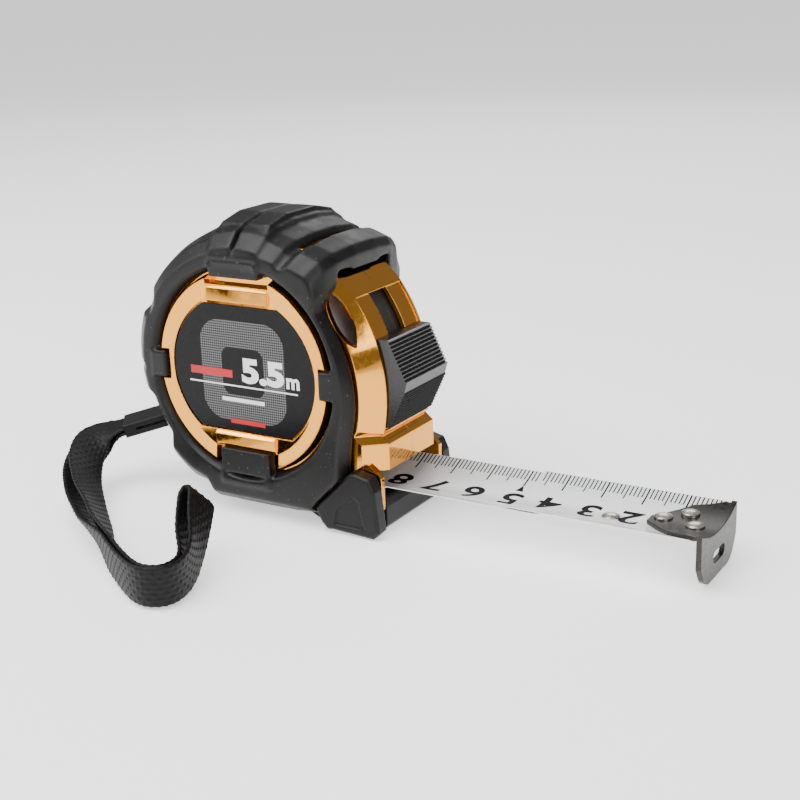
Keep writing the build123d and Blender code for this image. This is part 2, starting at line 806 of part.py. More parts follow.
# Hook: a plate that lies on the blade's end, bent down in front of it into a claw.
plate_lift = hook_plate_thickness + plate_gap
with BuildPart() as hook:
    with BuildSketch(Plane.YZ.offset(hook_plate_tail)):
        with BuildLine():
            trough(-plate_lift, hook_plate_thickness)
        make_face()
    extrude(amount=hook_back + hook_thickness - hook_plate_tail)
    with BuildSketch(Plane.XY):
        with BuildLine():
            Polyline(
                (hook_plate_tail, -1.6),
                (hook_plate_tail, 1.6),
                (hook_plate_tail + 4.0, 5.4),
                (hook_plate_tail + 7.4, 8.6),
                (hook_plate_tail + 10.4, 9.6),
                (hook_back - 1.2, 11.2),
                (hook_back + 1.0, 11.2),
                (hook_back + 1.0, -11.2),
                (hook_back - 1.2, -11.2),
                (hook_plate_tail + 10.4, -9.6),
                (hook_plate_tail + 7.4, -8.6),
                (hook_plate_tail + 4.0, -5.4),
                close=True,
            )
        make_face()
    extrude(amount=20, mode=Mode.INTERSECT)
    with BuildSketch(Plane.YZ.offset(hook_back)):
        with BuildLine():
            Line((-hook_half_width, blade_edge_height + 3), (-hook_half_width, 5.6))
            Line((-hook_half_width, 5.6), (-10.2, 3.0))
            ThreePointArc((-10.2, 3.0), (-8.4, 1.2), (-5.8, hook_drop))
            Line((-5.8, hook_drop), (5.8, hook_drop))
            ThreePointArc((5.8, hook_drop), (8.4, 1.2), (10.2, 3.0))
            Line((10.2, 3.0), (hook_half_width, 5.6))
            Line((hook_half_width, 5.6), (hook_half_width, blade_edge_height + 3))
            Line((hook_half_width, blade_edge_height + 3), (-hook_half_width, blade_edge_height + 3))
        make_face()
        with BuildLine():
            trough(-plate_lift - 6.0, 6.0)
        make_face(mode=Mode.SUBTRACT)
        with Locations((0, 5.2)):
            SlotOverall(7.6, 2.8, mode=Mode.SUBTRACT)
    extrude(amount=hook_thickness)
    # The rivets' slots are longer than the rivets by the hook's play
    with BuildSketch(Plane.XY):
        for x, y in rivet_spots:
            with Locations((x + hook_play / 2, y)):
                SlotOverall(2 * rivet_shank_radius + 0.1 + hook_play, 2 * rivet_shank_radius + 0.1)
    extrude(amount=20, mode=Mode.SUBTRACT)
hook.part.label = "hook"
export_step(hook.part, "parts/hook.step")


def rivet(spot, lift):
    """A domed rivet at a spot, its head lifted off the blade by the plate below it."""
    x, y = spot
    top = blade_edge_height - trough_depth * (1 - (2 * y / blade_width) ** 2)
    seat = top + lift + 0.35
    with BuildPart() as body:
        with BuildSketch(Plane.XZ.offset(-y)):
            with BuildLine():
                crown = (x, seat + rivet_height)
                ThreePointArc((x - rivet_radius, seat), crown, (x + rivet_radius, seat))
                Line((x + rivet_radius, seat), (x - rivet_radius, seat))
            make_face()
            with Locations((x, seat - 0.5)):
                Rectangle(2 * rivet_radius, 1.0)
            with Locations((x + rivet_radius, seat)):
                Rectangle(2 * rivet_radius, 6, mode=Mode.INTERSECT)
        revolve(axis=Axis((x, y, 0), (0, 0, 1)))
        # The head's underside follows what it lies on
        with BuildSketch(Plane.YZ.offset(x - 2 * rivet_radius)):
            with BuildLine():
                trough(-lift, 8.0)
            make_face()
        extrude(amount=4 * rivet_radius, mode=Mode.SUBTRACT)
        with BuildSketch(Plane.XY.offset(top - blade_thickness - rivet_tail)):
            with Locations(spot):
                Circle(rivet_shank_radius)
        extrude(amount=blade_thickness + rivet_tail + lift + 0.5)
    return body.part


with BuildPart() as hook_rivets:
    for spot in rivet_spots:
        add(rivet(spot, plate_lift + plate_gap))
hook_rivets.part.label = "hook_rivets"
export_step(hook_rivets.part, "parts/hook_rivets.step")

with BuildPart() as blade_rivet:
    add(rivet(marker_spot, 0.0))
blade_rivet.part.label = "blade_rivet"
export_step(blade_rivet.part, "parts/blade_rivet.step")

# Reel: a spring cup with a bored web, two side flanges, and the wound blade on it.
cup_half_width = blade_width / 2 + 0.1

with BuildPart() as reel_hub:
    with BuildSketch(right_side.offset(-cup_half_width)):
        with Locations((0, reel_height)):
            Circle(hub_radius)
            Circle(hub_radius - 1.0, mode=Mode.SUBTRACT)
    extrude(amount=2 * cup_half_width)
    with BuildSketch(right_side.offset(cup_half_width - 1.4)):
        with Locations((0, reel_height)):
            Circle(hub_radius - 0.5)
    extrude(amount=1.4)
    with BuildSketch(right_side.offset(cup_half_width - 3.4)):
        with Locations((0, reel_height)):
            Circle(spindle_radius + 1.4)
    extrude(amount=3.0)
    with BuildSketch(right_side):
        with Locations((0, reel_height)):
            Circle(spindle_radius + running_gap)
    extrude(amount=20, both=True, mode=Mode.SUBTRACT)
reel_hub.part.label = "reel_hub"
export_step(reel_hub.part, "parts/reel_hub.step")

with BuildPart() as reel_flange_right:
    with BuildSketch(right_side.offset(cup_half_width)):
        with Locations((0, reel_height)):
            Circle(flange_radius)
            Circle(hub_radius - 3.0, mode=Mode.SUBTRACT)
            with PolarLocations(18.2, 3):
                Circle(3.2, mode=Mode.SUBTRACT)
    extrude(amount=flange_thickness)
reel_flange_right.part.label = "reel_flange_right"
export_step(reel_flange_right.part, "parts/reel_flange_right.step")

with BuildPart() as reel_flange_left:
    mirror(reel_flange_right.part, about=Plane.XZ)
reel_flange_left.part.label = "reel_flange_left"
export_step(reel_flange_left.part, "parts/reel_flange_left.step")

with BuildPart() as tape_coil:
    with BuildSketch(right_side.offset(-blade_width / 2)):
        with Locations((0, reel_height)):
            Circle(coil_radius)
            Circle(hub_radius + 0.05, mode=Mode.SUBTRACT)
    extrude(amount=blade_width)
tape_coil.part.label = "tape_coil"
export_step(tape_coil.part, "parts/tape_coil.step")

# Mainspring: the wound return spring inside the cup, drawn as one ring.
with BuildPart() as mainspring:
    with BuildSketch(right_side.offset(-cup_half_width + 1.2)):
        with Locations((0, reel_height)):
            Circle(hub_radius - 1.5)
            Circle(spindle_radius, mode=Mode.SUBTRACT)
    extrude(amount=2 * cup_half_width - 1.2 - 4.0)
mainspring.part.label = "mainspring"
export_step(mainspring.part, "parts/mainspring.step")

# Spindle: the fixed steel shaft between the two shells.
with BuildPart() as spindle:
    with BuildSketch(right_side.offset(-chamber_half_width)):
        with Locations((0, reel_height)):
            Circle(spindle_radius)
    extrude(amount=2 * chamber_half_width)
spindle.part.label = "spindle"
export_step(spindle.part, "parts/spindle.step")

# Case screws: four, from the left shell through into posts of the right one.
with BuildPart() as case_screws:
    with BuildSketch(Plane.XZ.offset(-screw_head_seat)):
        with Locations(*screw_spots):
            Circle(screw_head_radius)
    extrude(amount=-1.5)
    with BuildSketch(Plane.XZ.offset(-screw_head_seat)):
        with Locations(*screw_spots):
            Circle(screw_radius)
    extrude(amount=screw_head_seat + screw_depth)
    with BuildSketch(Plane.XZ.offset(-screw_head_seat - 0.8)):
        with Locations(*screw_spots):
            Rectangle(2.6, 0.6)
            Rectangle(0.6, 2.6)
    extrude(amount=-1.5, mode=Mode.SUBTRACT)
case_screws.part.label = "case_screws"
export_step(case_screws.part, "parts/case_screws.step")

# Wrist strap: a pin across the case's rear opening, a short link on it, a moulded
# buckle block, and doubled webbing that leaves the block and lies down on its edge.
with BuildPart() as strap_pin:
    with BuildSketch(right_side.offset(-strap_opening_half_width - 1.8)):
        with Locations(lug_spot):
            Circle(strap_pin_radius)
    extrude(amount=2 * strap_opening_half_width + 3.6)
strap_pin.part.label = "strap_pin"
export_step(strap_pin.part, "parts/strap_pin.step")

# The buckle's own frame: the webbing starts from its end face, and the slot in
# its narrow sides shows where the webbing's ends are sewn in.
strap_start = Vector(*strap_route[0])
strap_heading = (Vector(*strap_route[1]) - strap_start).normalized()
across = Vector(-strap_heading.Y, strap_heading.X, 0).normalized()
buckle_end = Plane(origin=strap_start, x_dir=across, z_dir=strap_heading)
buckle_center = strap_start - strap_heading * buckle_length / 2
buckle_middle = Plane(origin=buckle_center, x_dir=strap_heading, z_dir=across)

with BuildPart() as strap_buckle:
    with BuildSketch(buckle_end):
        RectangleRounded(buckle_width, buckle_thickness, 0.5)
    extrude(amount=-buckle_length)
    with BuildSketch(buckle_middle):
        SlotOverall(buckle_length * 0.6, buckle_slot_height)
    extrude(amount=buckle_width, both=True, mode=Mode.SUBTRACT)
strap_buckle.part.label = "strap_buckle"
export_step(strap_buckle.part, "parts/strap_buckle.step")

# The link: an eye round the pin and a flat tongue up to the buckle's root.
buckle_root = strap_start - strap_heading * buckle_length
link_start = Vector(lug_spot[0], 0, lug_spot[1])
link_run = buckle_root - link_start
tongue = Plane(origin=link_start, x_dir=Vector(0, 1, 0), z_dir=link_run.normalized())

with BuildPart() as strap_loop:
    with BuildSketch(right_side.offset(-link_width / 2)):
        with Locations(lug_spot):
            Circle(strap_pin_radius + 1.3)
    extrude(amount=link_width)
    with BuildSketch(tongue):
        Rectangle(link_width, link_thickness)
    extrude(amount=link_run.length + 3.0)
    with BuildSketch(right_side.offset(-link_width)):
        with Locations(lug_spot):
            Circle(strap_pin_radius + running_gap)
    extrude(amount=2 * link_width, mode=Mode.SUBTRACT)
    with BuildSketch(Plane(origin=buckle_root, x_dir=across, z_dir=strap_heading)):
        Rectangle(40, 40)
    extrude(amount=20, mode=Mode.SUBTRACT)
strap_loop.part.label = "strap_loop"
export_step(strap_loop.part, "parts/strap_loop.step")


def bend_radius(before, corner, after):
    """The largest arc that the two runs at a corner of the strap's route allow."""
    run_in = Vector(*corner) - Vector(*before)
    run_out = Vector(*after) - Vector(*corner)
    turn = math.radians(run_in.get_angle(run_out))
    return 0.45 * min(run_in.length, run_out.length) / math.tan(turn / 2)


strap_bends = [bend_radius(*corner) for corner in zip(strap_route, strap_route[1:], strap_route[2:])]
print("strap bend radii", [round(radius, 1) for radius in strap_bends])

with BuildPart() as wrist_strap:
    with BuildLine() as strap_line:
        FilletPolyline(*strap_route, radius=strap_bends)
    with BuildSketch(buckle_end):
        Rectangle(strap_fold_thickness, strap_width)
    sweep(path=strap_line.wires()[0])
wrist_strap.part.label = "wrist_strap"
export_step(wrist_strap.part, "parts/wrist_strap.step")
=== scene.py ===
import math

import bmesh
import bpy
from mathutils import Matrix, Vector


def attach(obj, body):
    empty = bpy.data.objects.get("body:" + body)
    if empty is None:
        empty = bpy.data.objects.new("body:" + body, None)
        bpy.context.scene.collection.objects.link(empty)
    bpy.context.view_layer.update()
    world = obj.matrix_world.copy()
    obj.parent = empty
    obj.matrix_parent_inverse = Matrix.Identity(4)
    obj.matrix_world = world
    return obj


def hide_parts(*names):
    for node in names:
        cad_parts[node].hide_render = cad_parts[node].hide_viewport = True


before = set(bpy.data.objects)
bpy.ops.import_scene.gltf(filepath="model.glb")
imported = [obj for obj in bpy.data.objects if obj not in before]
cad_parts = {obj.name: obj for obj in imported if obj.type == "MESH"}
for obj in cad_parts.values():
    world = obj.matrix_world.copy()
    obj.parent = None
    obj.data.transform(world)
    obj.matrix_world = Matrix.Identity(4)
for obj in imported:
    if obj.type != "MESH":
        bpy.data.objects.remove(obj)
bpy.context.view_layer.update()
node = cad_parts

# The bench view: the tape measure seen from the front right and a little above, with
# a long lens that keeps the blade's edges nearly parallel.
view_turn = math.radians(31.42)
view_rise = math.radians(17.28)
view_roll = math.radians(-1.91)
view_from = Vector((0.2015, -0.2755, 0.1301))
back = Vector(
    (
        math.sin(view_turn) * math.cos(view_rise),
        -math.cos(view_turn) * math.cos(view_rise),
        math.sin(view_rise),
    )
)
level = Vector((0, 0, 1)).cross(back).normalized()
upright = back.cross(level)
view_right = level * math.cos(view_roll) + upright * math.sin(view_roll)
view_up = upright * math.cos(view_roll) - level * math.sin(view_roll)
camera = bpy.data.objects.new("bench_camera", bpy.data.cameras.new("bench_camera"))
camera.data.lens = 62.81
camera.data.sensor_width = 36
camera.data.clip_start = 0.01
turned = Matrix((view_right, view_up, back)).transposed().to_4x4()
camera.matrix_world = Matrix.Translation(view_from) @ turned
bpy.context.scene.collection.objects.link(camera)
bpy.context.scene.camera = camera


# Wrist strap: one loop of coarse nylon webbing, 9.5 mm wide, sewn into the moulded
# buckle at both ends and folded flat.  It leaves the buckle lying flat, turns over
# onto its edge along the bench, and its folded end springs up a little.
strap_route = [
    (-0.0451, -0.0122, 0.0154),
    (-0.0492, -0.0155, 0.0142),
    (-0.0502, -0.0216, 0.0114),
    (-0.0460, -0.0290, 0.0086),
    (-0.0382, -0.0370, 0.0067),
    (-0.0258, -0.0473, 0.0056),
    (-0.0105, -0.0594, 0.0054),
    (0.0025, -0.0680, 0.0054),
    (0.0103, -0.0718, 0.0054),
    (0.0152, -0.0696, 0.0054),
    (0.0156, -0.0644, 0.0054),
    (0.0128, -0.0584, 0.0057),
    (0.0088, -0.0526, 0.0076),
    (0.0054, -0.0468, 0.0108),
    (0.0028, -0.0418, 0.0145),
]
webbing_width = 0.0095
webbing_thickness = 0.0011
weave_pitch = 0.0013


def smooth_steps(stations, at):
    """The value at a distance, eased between (distance, value) stations."""
    for (s0, v0), (s1, v1) in zip(stations, stations[1:]):
        if at <= s1:
            share = max(0.0, (at - s0) / (s1 - s0))
            share = share * share * (3 - 2 * share)
            return v0 + (v1 - v0) * share
    return stations[-1][1]


guide = bpy.data.curves.new("strap_guide", "CURVE")
guide.dimensions = "3D"
guide.resolution_u = 40
guide_line = guide.splines.new("NURBS")
guide_line.points.add(len(strap_route) - 1)
for point, place in zip(guide_line.points, strap_route):
    point.co = (*place, 1)
guide_line.order_u = 3
guide_line.use_endpoint_u = True
guide_object = bpy.data.objects.new("strap_guide", guide)
bpy.context.scene.collection.objects.link(guide_object)
guide_mesh = bpy.data.meshes.new_from_object(guide_object)
strap_center = [v.co.copy() for v in guide_mesh.vertices]
bpy.data.objects.remove(guide_object)
strap_at = [0.0]
for before, after in zip(strap_center, strap_center[1:]):
    strap_at.append(strap_at[-1] + (after - before).length)
strap_length = strap_at[-1]

# How far the webbing is rolled off its edge, in degrees, and how far each ply stands
# from the middle, in millimetres, by the distance along the strap in metres
strap_roll = [(0.0, 90), (0.012, 64), (0.03, 50), (0.05, 36), (0.072, 6), (0.1, 0), (0.13, -30)]
ply_gap = [(0.0, 0.6), (0.014, 1.7), (0.045, 1.75), (0.07, 0.65), (0.1, 0.65), (0.118, 1.6), (0.14, 1.5)]
fold_reach = 0.0026


def strap_frame(at):
    """The strap's centre, its width's direction and its plies' direction at a distance."""
    index = 1
    while index < len(strap_at) - 1 and strap_at[index] < at:
        index += 1
    share = (at - strap_at[index - 1]) / (strap_at[index] - strap_at[index - 1])
    center = strap_center[index - 1].lerp(strap_center[index], min(max(share, 0.0), 1.0))
    low, high = max(index - 5, 0), min(index + 4, len(strap_center) - 1)
    along = (strap_center[high] - strap_center[low]).normalized()
    outer = along.cross(Vector((0, 0, 1))).normalized()
    rise = outer.cross(along).normalized()
    roll = math.radians(smooth_steps(strap_roll, at))
    return center, rise * math.cos(roll) + outer * math.sin(roll), along


def webbing_loop():
    """The loop of webbing as one woven strip, out along one ply and back along the other."""
    step = weave_pitch / 4
    count = int((strap_length - fold_reach) / step)
    out = [i * step for i in range(count)]
    turn_count = 26
    last = count * step
    strip = [(at, smooth_steps(ply_gap, at) * 0.001) for at in out]
    gap_end = smooth_steps(ply_gap, last) * 0.001
    for i in range(1, turn_count):
        angle = math.pi * i / turn_count
        strip.append((last + fold_reach * math.sin(angle), gap_end * math.cos(angle)))
    strip += [(at, -smooth_steps(ply_gap, at) * 0.001) for at in reversed(out)]
    places = []
    for at, gap in strip:
        center, across, along = strap_frame(at)
        apart = along.cross(across).normalized()
        places.append((center + apart * gap, across))
    mesh = bmesh.new()
    columns = 36
    rings = []
    run = 0.0
    for index, (center, across) in enumerate(places):
        before = places[max(index - 1, 0)][0]
        after = places[min(index + 1, len(places) - 1)][0]
        run += (center - before).length
        along = (after - before).normalized()
        face = along.cross(across).normalized()
        half = webbing_width / 2 - 0.00016 * abs(math.sin(math.pi * run / weave_pitch / 1.25))
        ring = []
        for side in (1, -1):
            for column in range(columns + 1):
                share = 2 * column / columns - 1 if side > 0 else 1 - 2 * column / columns
                edge = 1 - abs(share) ** 14
                over = math.sin(math.pi * run / weave_pitch)
                under = math.sin(math.pi * share * half / weave_pitch * 1.1)
                bump = 0.00026 * abs(over * under) * (1 if over * under > 0 else 0.35)
                rise = (webbing_thickness / 2 - 0.0001) * (0.35 + 0.65 * edge) + bump * edge
                ring.append(mesh.verts.new(center + across * half * share + face * side * rise))
        rings.append(ring)
    for ring, following in zip(rings, rings[1:]):
        for i in range(len(ring)):
            j = (i + 1) % len(ring)
            mesh.faces.new((ring[i], ring[j], following[j], following[i]))
    mesh.faces.new(list(reversed(rings[0])))
    mesh.faces.new(rings[-1])
    bmesh.ops.recalc_face_normals(mesh, faces=mesh.faces)
    data = bpy.data.meshes.new("webbing_loop")
    mesh.to_mesh(data)
    mesh.free()
    data.shade_smooth()
    return bpy.data.objects.new("webbing_loop", data)


def shader(name, **values):
    """A material with one principled shader, its constant values set on the sockets."""
    made = bpy.data.materials.new(name)
    made.use_nodes = True
    surface = made.node_tree.nodes["Principled BSDF"]
    for socket, value in values.items():
        surface.inputs[socket.replace("_", " ")].default_value = value
    return made, made.node_tree, surface


def place_noise(tree, scale, detail=2.0):
    """Noise over the piece's own place, in metres."""
    place = tree.nodes.new("ShaderNodeTexCoord")
    noise = tree.nodes.new("ShaderNodeTexNoise")
    noise.inputs["Scale"].default_value = scale
    noise.inputs["Detail"].default_value = detail
    tree.links.new(place.outputs["Object"], noise.inputs["Vector"])
    return noise.outputs["Fac"]


def between(tree, factor, low, high, low_value, high_value):
    """A number that runs from low_value to high_value as factor runs from low to high."""
    span = tree.nodes.new("ShaderNodeMapRange")
    for name, value in zip(("From Min", "From Max", "To Min", "To Max"), (low, high, low_value, high_value)):
        span.inputs[name].default_value = value
    tree.links.new(factor, span.inputs["Value"])
    return span.outputs["Result"]


def mixed(tree, factor, low_color, high_color):
    """A colour that runs between two colours."""
    mix = tree.nodes.new("ShaderNodeMix")
    mix.data_type = "RGBA"
    mix.inputs["A"].default_value = (*low_color, 1)
    mix.inputs["B"].default_value = (*high_color, 1)
    tree.links.new(factor, mix.inputs["Factor"])
    return mix.outputs["Result"]


def tint(tree, surface, factor, low_color, high_color):
    """A surface colour that wanders between two close shades."""
    tree.links.new(mixed(tree, factor, low_color, high_color), surface.inputs["Base Color"])


def bumped(tree, surface, height, distance, strength=1.0, round_edges=0.0):
    """A fine relief, on edges that catch the light as if they were rounded."""
    bump = tree.nodes.new("ShaderNodeBump")
    bump.inputs["Distance"].default_value = distance
    bump.inputs["Strength"].default_value = strength
    tree.links.new(height, bump.inputs["Height"])
    if round_edges:
        bevel = tree.nodes.new("ShaderNodeBevel")
        bevel.samples = 6
        bevel.inputs["Radius"].default_value = round_edges
        tree.links.new(bevel.outputs["Normal"], bump.inputs["Normal"])
    tree.links.new(bump.outputs["Normal"], surface.inputs["Normal"])


webbing = webbing_loop()
bpy.context.scene.collection.objects.link(webbing)
nylon, tree, surface = shader("woven_nylon", Roughness=0.5, Specular_IOR_Level=0.2)
yarn = place_noise(tree, 2600, 3)
tint(tree, surface, yarn, (0.001, 0.001, 0.001), (0.008, 0.008, 0.009))
bumped(tree, surface, yarn, 0.0001, 0.9)
webbing.data.materials.append(nylon)
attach(webbing, "case")
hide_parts("wrist_strap")


# Buckle, link and pin: a satin moulded block that holds the webbing's sewn ends, on a
# flexible link round a steel pin in the back of the case.
buckle_plastic, tree, surface = shader("buckle_plastic", Roughness=0.4, Specular_IOR_Level=0.22)
mould = place_noise(tree, 900, 3)
tint(tree, surface, mould, (0.004, 0.004, 0.004), (0.009, 0.009, 0.009))
bumped(tree, surface, mould, 0.00004, 0.5, round_edges=0.0004)
for name in ("strap_buckle", "strap_loop"):
    node[name].data.materials.clear()
    node[name].data.materials.append(buckle_plastic)
pin_steel, tree, surface = shader("turned_pin_steel", Metallic=1.0)
surface.inputs["Base Color"].default_value = (0.5, 0.5, 0.5, 1)
tree.links.new(between(tree, place_noise(tree, 1500), 0.3, 0.7, 0.25, 0.45), surface.inputs["Roughness"])
for name in ("strap_pin", "spindle", "case_screws"):
    node[name].data.materials.clear()
    node[name].data.materials.append(pin_steel)


# Case shells: ABS halves with a bright plated gold finish.  The plating is a mirror
# with a soft unevenness, and every moulded edge is slightly rounded.
plating, tree, surface = shader("gold_plating", Metallic=1.0)
flow = place_noise(tree, 60, 2)
tint(tree, surface, flow, (0.80, 0.335, 0.045), (0.88, 0.40, 0.07))
tree.links.new(between(tree, place_noise(tree, 900, 4), 0.35, 0.75, 0.05, 0.13), surface.inputs["Roughness"])
bumped(tree, surface, place_noise(tree, 110, 1), 0.00022, 0.5, round_edges=0.00035)
for name in ("case_right", "case_left"):
    node[name].data.materials.clear()
    node[name].data.materials.append(plating)


# Rubber cover: thick charcoal elastomer moulded over both shells, softly rounded,
# with a fine matt grain that holds a little white dust.
def softened(name, members, voxel, rounds):
    """One piece from CAD solids, its edges rounded as a mould rounds them."""
    parts = bmesh.new()
    for member in members:
        parts.from_mesh(node[member].data)
    bmesh.ops.remove_doubles(parts, verts=parts.verts, dist=1e-6)
    data = bpy.data.meshes.new(name)
    parts.to_mesh(data)
    parts.free()
    rough = bpy.data.objects.new(name + "_rough", data)
    bpy.context.scene.collection.objects.link(rough)
    remesh = rough.modifiers.new("remesh", "REMESH")
    remesh.mode = "VOXEL"
    remesh.voxel_size = voxel
    smooth = rough.modifiers.new("smooth", "SMOOTH")
    smooth.factor = 0.5
    smooth.iterations = rounds
    bpy.context.view_layer.update()
    ready = rough.evaluated_get(bpy.context.evaluated_depsgraph_get())
    piece = bpy.data.objects.new(name, bpy.data.meshes.new_from_object(ready))
    bpy.data.objects.remove(rough)
    bpy.context.scene.collection.objects.link(piece)
    piece.data.shade_smooth()
    return piece


cover_rubber, tree, surface = shader("cover_rubber", Specular_IOR_Level=0.3)
grain = place_noise(tree, 5200, 2)
patch = place_noise(tree, 220, 3)
dust = between(tree, place_noise(tree, 1900, 0), 0.80, 0.83, 0.0, 1.0)
base = mixed(tree, patch, (0.003, 0.003, 0.003), (0.007, 0.007, 0.007))
dusted = tree.nodes.new("ShaderNodeMix")
dusted.data_type = "RGBA"
dusted.inputs["B"].default_value = (0.07, 0.07, 0.07, 1)
tree.links.new(dust, dusted.inputs["Factor"])
tree.links.new(base, dusted.inputs["A"])
tree.links.new(dusted.outputs["Result"], surface.inputs["Base Color"])
tree.links.new(between(tree, patch, 0.3, 0.7, 0.34, 0.48), surface.inputs["Roughness"])
bumped(tree, surface, grain, 0.00008, 0.45)
cover = softened("rubber_cover", ("grip_right", "grip_left"), 0.00036, 14)
cover.data.materials.append(cover_rubber)
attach(cover, "case")
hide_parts("grip_right", "grip_left")


# Front feet: hard black rubber skids with a sunk triangle.
foot_rubber, tree, surface = shader("foot_rubber", Roughness=0.42, Specular_IOR_Level=0.22)
scuff = place_noise(tree, 1300, 4)
tint(tree, surface, scuff, (0.004, 0.004, 0.004), (0.010, 0.010, 0.010))
bumped(tree, surface, scuff, 0.00006, 0.5)
for side in ("right", "left"):
    foot = softened("skid_" + side, ("foot_" + side,), 0.0002, 5)
    foot.data.materials.append(foot_rubber)
    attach(foot, "case")
    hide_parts("foot_" + side)


# Lower jaw: black satin plastic between the feet.
jaw_plastic, tree, surface = shader("jaw_plastic", Roughness=0.42, Specular_IOR_Level=0.2)
moulding = place_noise(tree, 1100, 3)
tint(tree, surface, moulding, (0.004, 0.004, 0.004), (0.009, 0.009, 0.009))
bumped(tree, surface, moulding, 0.00005, 0.5, round_edges=0.0004)
node["lower_jaw"].data.materials.clear()
node["lower_jaw"].data.materials.append(jaw_plastic)


# Labels: printed film discs sunk in the bezels.  Black ground, a broad ring of fine
# grey halftone with rounded corners, and the blade's length in white figures.
label_print, tree, surface = shader("label_film", Roughness=0.22, Specular_IOR_Level=0.15)


def sum_of(tree, operation, first, second=None):
    """One arithmetic step between numbers or sockets."""
    step = tree.nodes.new("ShaderNodeMath")
    step.operation = operation
    for socket, value in zip(step.inputs, (first, second)):
        if isinstance(value, (int, float)):
            socket.default_value = value
        elif value is not None:
            tree.links.new(value, socket)
    return step.outputs["Value"]


place = tree.nodes.new("ShaderNodeTexCoord")
parts = tree.nodes.new("ShaderNodeSeparateXYZ")
tree.links.new(place.outputs["Object"], parts.inputs["Vector"])
across = parts.outputs["X"]
up_face = sum_of(tree, "SUBTRACT", parts.outputs["Z"], 0.0374)


def rounded_square(half_width, half_height, corner):
    """How far inside a rounded square on the label a point is, in metres."""
    squares = []
    for direction, half in ((across, half_width), (up_face, half_height)):
        past = sum_of(tree, "SUBTRACT", sum_of(tree, "ABSOLUTE", direction), half - corner)
        squares.append(sum_of(tree, "POWER", sum_of(tree, "MAXIMUM", past, 0), 2))
    reach = sum_of(tree, "SQRT", sum_of(tree, "ADD", *squares))
    return sum_of(tree, "LESS_THAN", reach, corner)


ring_outside = rounded_square(0.0125, 0.0126, 0.006)
ring_inside = rounded_square(0.0062, 0.0060, 0.0025)
ring = sum_of(tree, "SUBTRACT", ring_outside, ring_inside)
dot_pitch = 0.00062
dot_waves = [
    sum_of(tree, "SINE", sum_of(tree, "MULTIPLY", sum_of(tree, way, across, up_face), math.pi / dot_pitch))
    for way in ("ADD", "SUBTRACT")
]
dots = sum_of(tree, "GREATER_THAN", sum_of(tree, "MULTIPLY", *dot_waves), -0.1)
grey = place_noise(tree, 700, 2)
ground = mixed(tree, grey, (0.004, 0.004, 0.004), (0.008, 0.008, 0.008))
printed = tree.nodes.new("ShaderNodeMix")
printed.data_type = "RGBA"
printed.inputs["B"].default_value = (0.14, 0.14, 0.14, 1)
tree.links.new(sum_of(tree, "MULTIPLY", ring, dots), printed.inputs["Factor"])
tree.links.new(ground, printed.inputs["A"])
tree.links.new(printed.outputs["Result"], surface.inputs["Base Color"])
bumped(tree, surface, grey, 0.00001, 0.3)
for name in ("label_right", "label_left"):
    node[name].data.materials.clear()
    node[name].data.materials.append(label_print)

white_print, tree, surface = shader("white_print", Roughness=0.35)
tone = place_noise(tree, 900, 2)
tint(tree, surface, tone, (0.80, 0.80, 0.80), (0.88, 0.88, 0.88))
red_print, tree, surface = shader("red_print", Roughness=0.35)
tone = place_noise(tree, 900, 2)
tint(tree, surface, tone, (0.42, 0.004, 0.008), (0.52, 0.010, 0.014))
label_face = 0.01813
reel_height = 0.0372


def on_label(name, data, side, ink):
    """Ink laid on the right (-1) or left (+1) label, as seen from that side."""
    outwards = (0, 0, side, side * label_face)
    data.transform(Matrix(((-side, 0, 0, 0), outwards, (0, 1, 0, reel_height), (0, 0, 0, 1))))
    data.materials.clear()
    data.materials.append(ink)
    piece = bpy.data.objects.new(name, data)
    bpy.context.scene.collection.objects.link(piece)
    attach(piece, "case")


def wide_lettering(text, size, x, y, bolder, widen):
    """Flat figures, widened, with their middle at a place on the label."""
    words = bpy.data.curves.new("lettering", "FONT")
    words.body = text
    words.size = size
    words.align_x = "CENTER"
    words.align_y = "CENTER"
    words.offset = bolder
    words.resolution_u = 6
    holder = bpy.data.objects.new("lettering", words)
    bpy.context.scene.collection.objects.link(holder)
    data = bpy.data.meshes.new_from_object(holder)
    data.transform(Matrix.Translation((x, y, 0)) @ Matrix.Diagonal((widen, 1, 1, 1)))
    bpy.data.objects.remove(holder)
    return data


def bar(x0, y0, x1, y1):
    """A flat printed bar."""
    data = bpy.data.meshes.new("bar")
    count = 12
    steps = [x0 + (x1 - x0) * i / count for i in range(count + 1)]
    verts = [(x, y0, 0) for x in steps] + [(x, y1, 0) for x in steps]
    faces = [(i, i + 1, count + 2 + i, count + 1 + i) for i in range(count)]
    data.from_pydata(verts, [], faces)
    return data


for side, hand in ((-1, "right"), (1, "left")):
    length_figures = wide_lettering("5.5", 0.0080, 0.0060, 0.0004, 0.0004, 1.30)
    metre_letter = wide_lettering("m", 0.0052, 0.0147, -0.0006, 0.0002, 1.0)
    on_label("length_" + hand, length_figures, side, white_print)
    on_label("metre_" + hand, metre_letter, side, white_print)
    on_label("rule_" + hand, bar(-0.0165, -0.0037, 0.0160, -0.0033), side, white_print)
    on_label("red_bar_" + hand, bar(-0.0160, -0.0016, -0.0032, 0.0004), side, red_print)
    on_label("white_bar_" + hand, bar(-0.0068, -0.0076, 0.0060, -0.0066), side, white_print)
    on_label("red_foot_" + hand, bar(-0.0046, -0.0132, 0.0058, -0.0120), side, red_print)


